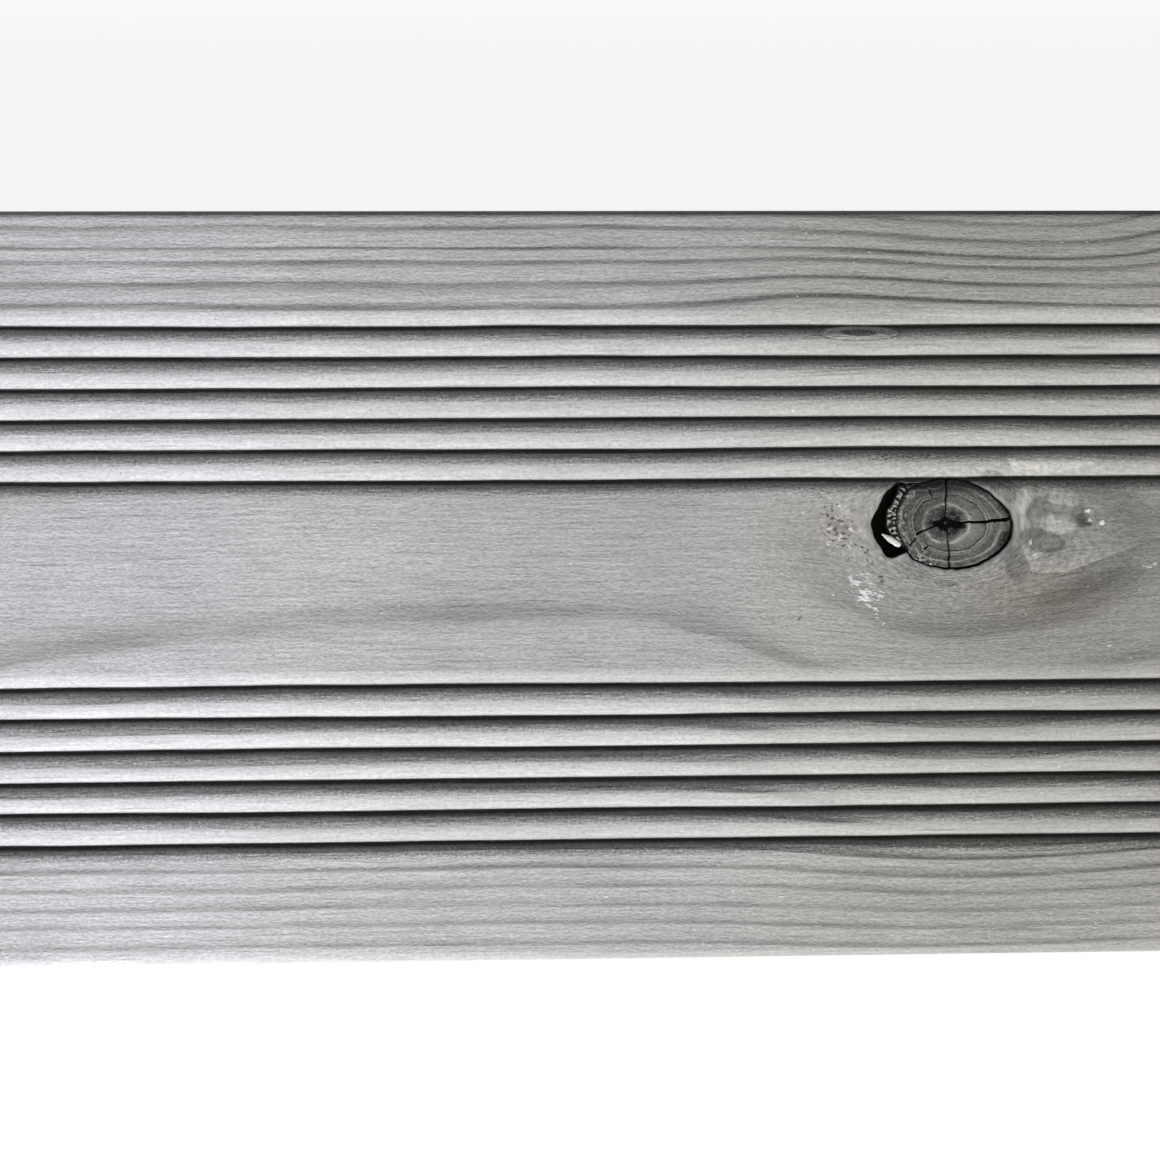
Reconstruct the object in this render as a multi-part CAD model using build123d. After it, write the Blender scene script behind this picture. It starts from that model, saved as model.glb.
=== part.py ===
"""A reeded pine floorboard for outdoor decking, sawn and moulded from one length of timber.

The board lies flat with its reeded face up: X runs along the grain, Y across the
board, and Z = 0 is the underside. The origin is under the middle of the board.
"""

import os
from math import sqrt

from build123d import *

# Driving dimensions, in millimetres

# The board as it is sold
board_length = 1800.0
board_width = 145.0
board_thickness = 28.0
arris_radius = 2.0

# Two bands of reeds with V grooves between them, one band each side of a plain middle
middle_width = 39.5
reed_pitch = 6.0
reeds_per_band = 5
groove_depth = 1.6
flank_radius = 3.9
crest_radius = 1.0
groove_tip_radius = 0.3

# The knot, and the open gap where its bark has dropped out at one end
knot_x = 71.3
knot_y = 10.9
knot_length = 23.9
knot_width = 17.4
gap_reach = 3.7
gap_length = 12.6
gap_width = 13.8
gap_depth = 6.0

# Half a reed, from its crest at Y = 0 to the middle of the groove. Its flank is an arc that runs
# smoothly into the blunt crest, which lies inside that arc, and the groove's tip, which lies outside it.
reed_half = reed_pitch / 2
groove_floor_z = board_thickness - groove_depth
crest_centre = Vector(0, board_thickness - crest_radius)
tip_centre = Vector(reed_half, groove_floor_z + groove_tip_radius)
crest_distance = flank_radius - crest_radius
tip_distance = flank_radius + groove_tip_radius
crest_to_tip = tip_centre - crest_centre
across = crest_to_tip.normalized()
along_share = (crest_distance**2 - tip_distance**2 + crest_to_tip.length**2) / (2 * crest_to_tip.length)
drop = sqrt(crest_distance**2 - along_share**2)
flank_centre = crest_centre + across * along_share + Vector(across.Y, -across.X) * drop


def on_flank(towards):
    """The point of the flank's arc that lies in the direction of another point."""
    return flank_centre + (towards - flank_centre).normalized() * flank_radius


flank_top = on_flank(crest_centre)
flank_foot = on_flank(tip_centre)
flank_middle = on_flank((flank_top + flank_foot) * 0.5)


def groove_places():
    """Y of each groove's floor, from one edge of the board to the other."""
    one_band = [middle_width / 2 + n * reed_pitch for n in range(reeds_per_band + 1)]
    return [-y for y in reversed(one_band)] + one_band


def groove_floor(y):
    """The round floor of a groove, between the flanks of the two reeds beside it."""
    reach = reed_half - flank_foot.X
    return ThreePointArc((y - reach, flank_foot.Y), (y, groove_floor_z), (y + reach, flank_foot.Y))


def flank(crest_y, side):
    """One side of the reed with its crest at crest_y, from the crest down towards the groove."""
    points = (flank_top, flank_middle, flank_foot)
    return ThreePointArc(*[(crest_y + side * point.X, point.Y) for point in points])


def reed(y):
    """One reed: a flank up from the groove at y, a blunt crest, and a flank down to the next groove."""
    crest_y = y + reed_half
    left, right = crest_y - flank_top.X, crest_y + flank_top.X
    crest = ThreePointArc((left, flank_top.Y), (crest_y, board_thickness), (right, flank_top.Y))
    return [flank(crest_y, -1), crest, flank(crest_y, 1)]


def shoulder(y, side):
    """The half reed that brings a flat down into the groove at y. The flat lies on that side of it."""
    crest_y = y + side * reed_half
    easing_end = (crest_y - side * flank_top.X, flank_top.Y)
    easing = TangentArc((crest_y, board_thickness), easing_end, tangent=(-side, 0))
    return [easing, flank(crest_y, -side)]


def face_outline():
    """The reeded face: flat, band of reeds, flat middle, band of reeds, flat."""
    grooves = groove_places()
    first, last = grooves[0], grooves[-1]
    inner, outer = grooves[reeds_per_band], grooves[reeds_per_band + 1]
    flat_end = board_width / 2 - arris_radius
    lines = [
        Line((-flat_end, board_thickness), (first - reed_half, board_thickness)),
        Line((inner + reed_half, board_thickness), (outer - reed_half, board_thickness)),
        Line((last + reed_half, board_thickness), (flat_end, board_thickness)),
    ]
    for y, side in ((first, -1), (inner, 1), (outer, -1), (last, 1)):
        lines += shoulder(y, side)
    for y in grooves:
        lines.append(groove_floor(y))
        if y not in (inner, last):
            lines += reed(y)
    return lines


def back_outline():
    """The two edges with their eased arrises, and the plain underside."""
    half, inset = board_width / 2, board_width / 2 - arris_radius
    top, low = board_thickness, arris_radius
    lines = [Line((-inset, 0), (inset, 0))]
    for side in (-1, 1):
        lines += [
            TangentArc((side * inset, top), (side * half, top - arris_radius), tangent=(side, 0)),
            Line((side * half, top - arris_radius), (side * half, low)),
            TangentArc((side * inset, 0), (side * half, low), tangent=(side, 0)),
        ]
    return lines


def board_section():
    """The section across the grain, as a face in the plane X = 0."""
    return Plane.YZ * make_face(face_outline() + back_outline())


def bark_gap():
    """The open crescent at the knot's end: an oval of lost bark, less the knot that stands in it."""
    knot_end = knot_x - knot_length / 2
    gap_x = knot_end - gap_reach + gap_length / 2
    hole = Pos(gap_x, knot_y) * Ellipse(gap_length / 2, gap_width / 2)
    crescent = hole - Pos(knot_x, knot_y) * Ellipse(knot_length / 2, knot_width / 2)
    return extrude(Pos(0, 0, board_thickness - gap_depth) * crescent, amount=gap_depth)


def floorboard():
    """The whole board: its section along its length, with the gap beside the knot."""
    return extrude(board_section(), amount=board_length / 2, both=True) - bark_gap()


os.makedirs("parts", exist_ok=True)
export_step(floorboard(), "parts/floorboard.step")
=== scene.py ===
"""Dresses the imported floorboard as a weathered, reeded pine decking board with one dead knot."""

import itertools
from math import pi, radians

import bpy
import numpy as np
from bpy.props import FloatProperty, FloatVectorProperty, IntProperty, PointerProperty
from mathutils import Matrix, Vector


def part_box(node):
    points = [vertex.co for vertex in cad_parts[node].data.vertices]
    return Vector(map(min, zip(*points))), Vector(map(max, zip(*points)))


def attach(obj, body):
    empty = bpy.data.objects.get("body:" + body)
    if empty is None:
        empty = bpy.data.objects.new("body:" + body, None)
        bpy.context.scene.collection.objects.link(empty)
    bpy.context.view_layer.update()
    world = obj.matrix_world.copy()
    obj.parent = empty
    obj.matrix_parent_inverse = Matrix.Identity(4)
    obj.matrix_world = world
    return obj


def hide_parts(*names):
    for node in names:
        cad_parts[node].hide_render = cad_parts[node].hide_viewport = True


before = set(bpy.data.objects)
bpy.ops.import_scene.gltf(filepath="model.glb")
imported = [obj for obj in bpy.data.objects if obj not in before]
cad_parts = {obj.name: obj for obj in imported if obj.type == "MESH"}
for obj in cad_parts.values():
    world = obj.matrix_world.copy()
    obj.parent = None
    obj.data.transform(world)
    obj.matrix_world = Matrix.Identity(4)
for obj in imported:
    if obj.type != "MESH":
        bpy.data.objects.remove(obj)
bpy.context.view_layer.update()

bl_info = {
    "name": "Weathered floorboard",
    "version": (1, 0, 0),
    "blender": (4, 5, 0),
    "location": "3D View > Sidebar > Floorboard",
    "description": "Builds a weathered, reeded pine floorboard with a dead knot",
    "category": "Add Mesh",
}

MM = 0.001
NODE = "floorboard"
BODY = "root"


# Settings

def length(name, description, millimetres):
    """A length that a user can change, given in millimetres."""
    return FloatProperty(name=name, description=description, default=millimetres * MM, unit="LENGTH")


def number(name, description, value, unit="NONE"):
    """A number that a user can change, with its unit where it has one."""
    return FloatProperty(name=name, description=description, default=value, unit=unit)


def position(name, description, millimetres):
    """A position that a user can change, given in millimetres."""
    return FloatVectorProperty(name=name, description=description, subtype="TRANSLATION", size=3,
                               default=[part * MM for part in millimetres])


def colour(name, description, value):
    """A colour that a user can change, as linear red, green and blue."""
    return FloatVectorProperty(name=name, description=description, subtype="COLOR", size=3,
                               default=value, min=0.0, max=1.0)


class BoardSizes(bpy.types.PropertyGroup):
    """The section that the moulding cutter left, the same as in the CAD part."""

    middle_width: length("Middle width", "Distance between the two inmost grooves", 39.5)
    reed_pitch: length("Reed pitch", "Distance from one groove to the next", 6.0)
    reeds: IntProperty(name="Reeds", description="Reeds in each of the two bands", default=5)
    groove_depth: length("Groove depth", "Depth of a groove below the reeds", 1.6)
    flank_radius: length("Flank radius", "Radius of each side of a reed", 3.9)
    crest_radius: length("Crest radius", "Radius of the blunt top of a reed", 1.0)
    tip_radius: length("Groove tip radius", "Radius of the floor of a groove", 0.3)
    arris_radius: length("Arris radius", "Radius of the four long corners", 2.0)


class GrowthSizes(bpy.types.PropertyGroup):
    """How the board lay in the tree: rings about a pith under the board, bent round the branch."""

    pith_y: length("Pith across", "Place of the pith across the board", 7.0)
    pith_depth: length("Pith depth", "Depth of the pith below the face", 40.0)
    swell: length("Swell at the knot", "How far the rings are pushed out beside the branch", 9.5)
    sweep: length("Sweep", "Height of the long waves of the rings along the tree", 5.2)


class KnotSizes(bpy.types.PropertyGroup):
    """The dead branch that the board was cut across, and the open gap beside it."""

    x: length("Along", "Place of the knot along the board", 71.3)
    y: length("Across", "Place of the knot across the board", 10.9)
    length: length("Length", "Size of the knot along the board", 23.9)
    width: length("Width", "Size of the knot across the board", 17.4)
    gap_reach: length("Gap reach", "How far the open gap reaches past the knot", 3.7)
    gap_length: length("Gap length", "Size of the gap's oval along the board", 12.6)
    gap_width: length("Gap width", "Size of the gap's oval across the board", 13.8)
    gap_depth: length("Gap depth", "Depth of the gap below the face", 6.0)


class WoodColours(bpy.types.PropertyGroup):
    """Colours of the weathered wood."""

    early: colour("Early wood", "Pale wood of each ring", (0.465, 0.463, 0.452))
    late: colour("Late wood", "Dark line that ends each ring", (0.105, 0.100, 0.092))
    # Painted shade in the grooves and the knot's pocket, and the colour of the stains beside the knot
    painted_shade_and_stain: colour("Grime", "Dirt in the grooves and gaps", (0.030, 0.029, 0.026))
    pit: colour("Pit", "Small dark holes beside the knot", (0.075, 0.072, 0.065))
    # Also the pale of the painted glints on the flanks that face away from the lamp
    resin: colour("Resin", "Dried resin flecks", (0.74, 0.735, 0.72))
    knot: colour("Knot", "Grey wood of the knot", (0.116, 0.113, 0.102))
    bark: colour("Bark", "Pale crumbs of bark on the knot", (0.33, 0.325, 0.30))
    # Painted shade: near black for the knot's cracks, hollow, rim and bark gaps, and the plug's side and foot
    crack: colour("Crack", "Dark inside of the knot's cracks", (0.010, 0.0095, 0.009))
    sliver: colour("Sliver", "Bare pale wood of the sliver in the gap", (0.60, 0.595, 0.575))


class StageSettings(bpy.types.PropertyGroup):
    """Floor, light and camera."""

    floor: colour("Floor", "Colour of the floor", (0.86, 0.86, 0.86))
    floor_size: length("Floor size", "Length of each side of the square floor", 12000)
    floor_lap: length("Floor lap", "How far the floor reaches in under the board", 3)
    key_power: number("Key power", "Power of the long raking lamp", 26.8, "POWER")
    key_length: length("Key length", "Size of the lamp along the board", 1800)
    key_width: length("Key width", "Size of the lamp across its length", 160)
    key_place: position("Key place", "Where the lamp hangs", (-150, -900, 560))
    fill: number("Fill", "Strength of the even light from all round", 0.13)
    under_fill: number("Light from below", "Strength of the even light that only the underside sees", 0.6)
    camera_place: position("Camera place", "Where the camera hangs over the board", (-9.64, -9.99, 338.1))
    camera_turn: FloatVectorProperty(
        name="Camera turn", description="How far the camera is off straight down", subtype="EULER", size=3,
        default=(radians(1.921), radians(-1.605), radians(-0.466)))
    lens: number("Lens", "Focal length", 50.0, "CAMERA")


# Shared formulas

def smooth_step(low, high, value):
    """Rises from 0 at low to 1 at high along a cubic that is level at both ends."""
    share = np.clip((value - low) / (high - low), 0.0, 1.0)
    return share * share * (3.0 - 2.0 * share)


def bell(x, y, place, reach):
    """A round hill of height 1: e to the minus squared distance, measured in reaches along x and y."""
    return np.exp(-((x - place[0]) / reach[0]) ** 2 - ((y - place[1]) / reach[1]) ** 2)


def on_circle(radius, angle):
    """Places on a circle, for noise that meets itself again after a full turn."""
    return radius * np.cos(angle), radius * np.sin(angle)


def lattice_noise(seed, *axes):
    """Smooth noise from -1 to 1: a random value at each whole-number point, blended by a quintic fade."""
    places = np.stack(np.broadcast_arrays(*axes), axis=-1).astype(float)
    cell = np.floor(places).astype(np.int64)
    part = places - cell
    fade = part ** 3 * (part * (part * 6 - 15) + 10)
    strides = np.array([374761393, 668265263, 1274126177][:len(axes)])
    total = np.zeros(places.shape[:-1])
    for corner in itertools.product((0, 1), repeat=len(axes)):
        key = ((cell + corner) * strides).sum(-1) + seed * 362437
        key = (key ^ (key >> 13)) * 1103515245 & 0x7FFFFFFF
        key = (key ^ (key >> 15)) * 69069 & 0x7FFFFFFF
        weight = np.where(corner, fade, 1 - fade).prod(-1)
        total += weight * (key / 0x3FFFFFFF - 1.0)
    return total


def fractal_noise(seed, octaves, *axes):
    """Noise with finer and finer detail: each octave is half as high and twice as close as the last."""
    layers = [lattice_noise(seed + n, *[axis * 2 ** n for axis in axes]) / 2 ** n for n in range(octaves)]
    return sum(layers)


# The moulded section

def reed_arcs(sizes):
    """Centre, top and foot of a reed's flank, from its crest at (0, 0).

    The flank is an arc that holds the crest's circle inside it and touches the groove tip's circle
    from outside, so its centre is where two circles about their centres cross.
    """
    crest = np.array([0.0, -sizes.crest_radius])
    tip = np.array([sizes.reed_pitch / 2, sizes.tip_radius - sizes.groove_depth])
    to_crest = sizes.flank_radius - sizes.crest_radius
    to_tip = sizes.flank_radius + sizes.tip_radius
    span = np.linalg.norm(tip - crest)
    across = (tip - crest) / span
    along = (to_crest ** 2 - to_tip ** 2 + span ** 2) / (2 * span)
    centre = crest + across * along + np.array([across[1], -across[0]]) * np.sqrt(to_crest ** 2 - along ** 2)
    top = centre + (crest - centre) / to_crest * sizes.flank_radius
    foot = centre + (tip - centre) / to_tip * sizes.flank_radius
    return centre, top, foot


def crest_distance(sizes, y):
    """How far each place across the board lies from the nearest crest line; nought on the flats."""
    half = sizes.reed_pitch / 2
    into = np.clip(np.abs(y) - (sizes.middle_width / 2 - half), 0, (sizes.reeds + 1) * sizes.reed_pitch)
    return np.abs((into + half) % sizes.reed_pitch - half)


def section_drop(sizes, y):
    """Depth of the section below the flats: a crest arc, then a flank arc, then the groove tip's arc."""
    centre, top, foot = reed_arcs(sizes)
    half = sizes.reed_pitch / 2
    u = np.minimum(crest_distance(sizes, y), half)

    def rise(radius, offset):
        return np.sqrt(np.maximum(radius ** 2 - offset ** 2, 0))

    crest = sizes.crest_radius - rise(sizes.crest_radius, u)
    flank = -centre[1] - rise(sizes.flank_radius, u - centre[0])
    tip = sizes.groove_depth - sizes.tip_radius + rise(sizes.tip_radius, half - u)
    return np.select([u <= top[0], u < foot[0]], [crest, flank], tip)


def face_columns(sizes, half_face):
    """Places across the face: close together at each crest and groove, wider apart on the flats."""
    half = sizes.reed_pitch / 2
    rising = np.array([0, 0.06, 0.2, 0.4, 0.6, 0.76, 0.88, 0.94, 1.0]) * half
    one_reed = np.concatenate([rising, sizes.reed_pitch - rising[-2:0:-1]])
    first = sizes.middle_width / 2 - half
    band = (np.arange(sizes.reeds + 1)[:, None] * sizes.reed_pitch + one_reed).ravel() + first
    last = first + (sizes.reeds + 1) * sizes.reed_pitch
    edge = np.linspace(last, half_face, 14)
    middle = np.linspace(-first, first, 34)[1:-1]
    side = np.concatenate([band, edge])
    return np.concatenate([-side[::-1], middle, side])


# How the tree grew

# Distance from the pith at which each year's growth ended, in millimetres, and how dark its last wood is
RING_ENDS = np.array([8, 14, 20, 28, 36.8, 43.1, 48.2, 53.0, 58.1, 61.7, 65.3, 68.7, 70.7,
                      74.0, 77.0, 80.2, 83.1, 86.5, 90.0, 94.0])
RING_DARKNESS = np.array([0.5, 0.5, 0.5, 0.5, 0.44, 0.46, 0.65, 0.65, 0.65, 0.82, 0.74, 0.70, 0.85,
                          0.65, 0.46, 0.46, 0.46, 0.46, 0.46, 0.46])


def ring_coordinate(growth, knot, x, y, z, face_z):
    """How many rings out from the pith each point lies.

    The distance from the pith line, less the long waves of the stem, less a hill at the knot, where
    the branch pushed the rings out. Ring ends lie at chosen distances, counted by interpolation.
    """
    across = y - growth.pith_y
    distance = np.hypot(across, z - (face_z - growth.pith_depth))
    left = np.maximum(-31 * MM - x, 0)
    right = np.maximum(x - 165 * MM, 0)
    waves = 2 - np.cos(left / (62 * MM)) - np.cos(right / (77 * MM))
    bent = distance - growth.sweep * waves * np.exp(-((y + 14 * MM) / (22 * MM)) ** 2)
    reach_x = np.where(x < knot.x, 35.5 * MM, 46 * MM)
    reach_y = np.where(y < knot.y + 1 * MM, 60 * MM, 30 * MM)
    bent -= growth.swell * bell(x, y, (knot.x, knot.y + 1 * MM), (reach_x, reach_y))
    bent -= 1.6 * MM * bell(x, y, (45 * MM, 54 * MM), (20 * MM, 8 * MM))
    bent += 3.3 * MM * bell(x, y, (98 * MM, 72 * MM), (45 * MM, 16 * MM))
    bent -= 5 * MM * bell(x, y, (128 * MM, 76 * MM), (20 * MM, 15 * MM))
    bent += 0.25 * MM * fractal_noise(3, 2, x / (45 * MM), y / (9 * MM))
    return np.interp(bent, RING_ENDS * MM, np.arange(len(RING_ENDS)))


def grain_flow(knot, x, y):
    """Across-the-grain coordinate: stream lines that part and pass round an oval about the knot."""
    dx, dy = (x - knot.x) / 1.35, y - knot.y
    core = (0.55 * knot.width) ** 2
    reach = np.maximum(dx ** 2 + dy ** 2, core * 1.02)
    return knot.y + dy * (1 - core / reach)


# The knot in plan

def oval_edge(length, width, angle):
    """Radius of an oval about its own centre, towards an angle."""
    return 1 / np.hypot(np.cos(angle) / (length / 2), np.sin(angle) / (width / 2))


def gap_edge(knot, angle):
    """Far edge of the open gap, seen from the knot's centre: where a ray leaves the gap's oval, or nought."""
    centre = -knot.length / 2 - knot.gap_reach + knot.gap_length / 2
    a, b = knot.gap_length / 2, knot.gap_width / 2
    square = (np.cos(angle) / a) ** 2 + (np.sin(angle) / b) ** 2
    half_linear = -np.cos(angle) * centre / a ** 2
    inside = half_linear ** 2 - square * ((centre / a) ** 2 - 1)
    leaves = (np.sqrt(np.maximum(inside, 0)) - half_linear) / square
    return np.where(inside > 0, leaves, 0)


def angle_bell(angle, centre, reach):
    """A hill over a range of angles, in degrees, that runs on smoothly past a full turn."""
    apart = (np.degrees(angle) - centre + 180) % 360 - 180
    return np.exp(-(apart / reach) ** 2)


# Outline of the knot as shares of its oval, at turns in degrees from the board's length: bark stands
# out on the side of the open gap. Then the far edge of the gap, as shares of the gap's own oval.
OUTLINE_TURNS = (0, 8, 28, 48, 70, 100, 126, 134, 142, 147, 152, 160, 167, 176, 184, 190, 197, 208,
                 216, 223, 240)
OUTLINE_SHARES = (0.985, 0.97, 0.91, 0.945, 0.985, 1.0, 1.01, 1.10, 1.19, 1.12, 1.07, 1.03, 1.07, 1.04,
                  1.02, 0.98, 0.925, 0.93, 0.96, 1.0, 1.0)
GAP_TURNS = (130, 137, 143, 148, 155, 162, 169, 173, 178, 183, 188, 193, 198, 205, 209, 211, 213, 215.5)
GAP_SHARES = (0.0, 1.33, 1.13, 1.05, 1.005, 0.965, 0.945, 0.97, 0.99, 0.995, 1.0, 0.98, 0.99, 1.03,
              1.04, 1.02, 0.95, 0.0)
GAP_SMOOTHING = np.linspace(-2.4, 2.4, 9)


def knot_edge(knot, angle):
    """Radius of the knot's own edge: its oval times the shares of its outline, a little uneven."""
    shares = np.interp(np.degrees(angle), OUTLINE_TURNS, OUTLINE_SHARES, period=360)
    uneven = lattice_noise(11, *on_circle(6, angle))
    return oval_edge(knot.length, knot.width, angle) * shares * (1 + 0.010 * uneven)


def pocket_edge(knot, angle):
    """Radius of the board's edge about the knot: the knot and the crack round it, or the open gap."""
    crack = 0.17 + 0.42 * angle_bell(angle, -12, 26) + 0.34 * angle_bell(angle, -70, 36)
    crack = crack + 0.22 * angle_bell(angle, 217, 9) + 0.08 * lattice_noise(13, *on_circle(9, angle))
    rough = 0.12 * MM * lattice_noise(12, *on_circle(9, angle))
    turns = np.degrees(angle)[..., None] + GAP_SMOOTHING
    shares = np.interp(turns, GAP_TURNS, GAP_SHARES, period=360).mean(-1)
    return np.maximum(knot_edge(knot, angle) + crack * MM, gap_edge(knot, angle) * shares + rough)


# Mesh helpers

SHARP_ANGLE = radians(50)


def grid_faces(index):
    """Quads between neighbouring entries of a two-way table of vertex numbers."""
    corners = (index[:-1, :-1], index[1:, :-1], index[1:, 1:], index[:-1, 1:])
    return np.stack(corners, axis=-1).reshape(-1, 4)


def closed(table):
    """A table that goes round, with its first column again at its end."""
    return np.column_stack([table, table[:, 0]])


def fan(ring, pole):
    """Triangles from each two neighbours in a closed ring to one point."""
    return np.stack([ring[:-1], ring[1:], np.full(len(ring) - 1, pole)], axis=-1)


def make_piece(name, points, faces, fields, material, spots=()):
    """Puts arrays into a mesh object: points, lists of faces, one field per name, and a map for baking."""
    mesh = bpy.data.meshes.new(name)
    mesh.from_pydata(points, [], [face for group in faces for face in group.tolist()])
    if len(spots):
        layer = mesh.uv_layers.new(name="OFBake")
        layer.data.foreach_set("uv", np.concatenate([group.ravel() for group in spots]).astype(np.float32))
    for title, values in fields.items():
        kind, part = ("FLOAT_VECTOR", "vector") if values.ndim == 2 else ("FLOAT", "value")
        layer = mesh.attributes.new(title, kind, "POINT")
        layer.data.foreach_set(part, values.astype(np.float32).ravel())
    mesh.materials.append(material)
    mesh.shade_smooth()
    mesh.set_sharp_from_angle(angle=SHARP_ANGLE)
    if mesh.validate():
        raise RuntimeError(f"{name} has faces that Blender had to mend")
    piece = bpy.data.objects.new(name, mesh)
    bpy.context.scene.collection.objects.link(piece)
    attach(piece, BODY)
    return piece


# The board

# The bake map, as shares of its side: how the board's length in millimetres is shared out over it, how far
# up it each island lies, and where along it the ends, the pocket's wall and the pocket's floor lie
LENGTH_STOPS = (-900, -115, 40, 105, 115, 900)
LENGTH_SHARES = (0.005, 0.17, 0.47, 0.82, 0.84, 0.995)
FACE_ISLAND = (0.365, 0.995)
LEFT_ISLAND = (0.275, 0.35)
RIGHT_ISLAND = (0.185, 0.26)
WALL_ISLAND = (0.135, 0.17)
END_ISLAND = (0.105, 0.17)
UNDER_ISLAND = (0.01, 0.09)
LEFT_END_SPAN = (0.01, 0.30)
RIGHT_END_SPAN = (0.33, 0.62)
WALL_SPAN = (0.66, 0.985)
FLOOR_PLACE = (0.72, 0.112)
FLOOR_SCALE = (1.0, 0.75)

# How finely the board is divided: places along the stretch that is seen closest, the whole of that stretch
# and each far end, steps along each ray to the pocket, and steps down the pocket's wall
NEAR_HALF = 31 * MM
NEAR_COUNT = 79
STRETCH_HALF = 122 * MM
STRETCH_COUNT = 101
FAR_COUNT = 30
RAY_COUNT = 44
WALL_SHARES = np.array([0.03, 0.1, 0.25, 0.5, 0.75, 1.0])[:, None]
FLOOR_SHARES = np.array([0.66, 0.33])[:, None]


def groove_wander(x, y):
    """How far the worn grooves stray from their straight lines: two waves of noise along each groove."""
    slow = lattice_noise(21, x / (55 * MM), y / (5 * MM))
    quick = lattice_noise(22, x / (14 * MM), y / (5 * MM))
    return (0.13 * slow + 0.07 * quick) * MM


def face_height(sizes, knot, x, y, face_z):
    """Height of the worn face: the section, with reeds that wander a little, and shallow wear.

    Never above the flats: each part of the wear only takes wood away.
    """
    drop = section_drop(sizes, y + groove_wander(x, y))
    wear = 0.10 * MM * (1 + fractal_noise(24, 2, x / (60 * MM), y / (9 * MM)) / 1.5)
    tear = bell(x, y, (knot.x + 22 * MM, knot.y - 5 * MM), (9 * MM, 4 * MM))
    return face_z - np.clip(drop + 0.5 * wear + 0.12 * MM * tear, 0, None)


def stations(half_length, knot):
    """Places along the board: closest at the knot, close over the stretch about it, then ever wider."""
    near = knot.x + np.linspace(-NEAR_HALF, NEAR_HALF, NEAR_COUNT)
    stretch = np.linspace(-STRETCH_HALF, STRETCH_HALF, STRETCH_COUNT)
    clear = stretch[(stretch < near[0] - 1 * MM) | (stretch > near[-1] + 1 * MM)]
    far = STRETCH_HALF + (half_length - STRETCH_HALF) * (np.arange(1, FAR_COUNT + 1) / FAR_COUNT) ** 1.25
    return np.sort(np.concatenate([-far, clear, near, far])), near


def side_levels(sizes, half_width, thickness):
    """Half width and height down the board's edge: an arris arc, the flat edge, and an arris arc."""
    turn = np.linspace(0, pi / 2, 6)
    inset = sizes.arris_radius
    wide = half_width - inset + inset * np.sin(turn)
    upper = thickness - inset + inset * np.cos(turn)
    edge = np.linspace(upper[-1], inset, 5)[1:-1]
    widths = np.concatenate([wide, np.full(len(edge), half_width), wide[::-1]])
    heights = np.concatenate([upper, edge, thickness - upper[::-1]])
    return widths, heights


def underside_columns(ys, half_face):
    """Which places across the face the underside takes up: few at the edges and more under the pith."""
    wanted = np.concatenate([np.linspace(-half_face, -20 * MM, 7), np.linspace(-16, 30, 15) * MM,
                             np.linspace(36 * MM, half_face, 6)])
    return np.unique(np.abs(ys[:, None] - wanted).argmin(0))


def map_along(x):
    """Place along the board's length on the bake map: most of it for the stretch about the knot."""
    return np.interp(x / MM, LENGTH_STOPS, LENGTH_SHARES)


def map_face(y, half_face):
    """Place across the board's face on the bake map."""
    return np.interp(y, (-half_face, half_face), FACE_ISLAND)


def round_knot(knot, reach, angle):
    """Places at a reach from the knot's centre, towards an angle."""
    return knot.x + reach * np.cos(angle), knot.y + reach * np.sin(angle)


class Shell:
    """The board's points and faces as they are added, and where the faces' corners lie on the bake map."""

    def __init__(self):
        self.blocks = []
        self.faces = []
        self.spots = []

    def points(self):
        """All points so far."""
        return np.concatenate(self.blocks)

    def place(self, x, y, z):
        """Adds points and gives their numbers, in the shape of the arrays."""
        block = np.stack(np.broadcast_arrays(x, y, z), axis=-1)
        start = sum(len(earlier) for earlier in self.blocks)
        self.blocks.append(block.reshape(-1, 3))
        return start + np.arange(block[..., 0].size).reshape(block.shape[:-1])

    def add(self, corners, spots):
        """Adds faces, each a row of point numbers, and where each of their corners lies on the map."""
        self.faces.append(corners)
        self.spots.append(spots)

    def sheet(self, table, u, v, flip=False):
        """Adds the quads of a table of point numbers, whose places on the map are u along and v up."""
        where = np.stack(np.broadcast_arrays(u, v), axis=-1).reshape(-1, 2)
        corners = grid_faces(np.arange(table.size).reshape(table.shape))[:, ::-1 if flip else 1]
        self.add(table.ravel()[corners], where[corners])


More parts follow.
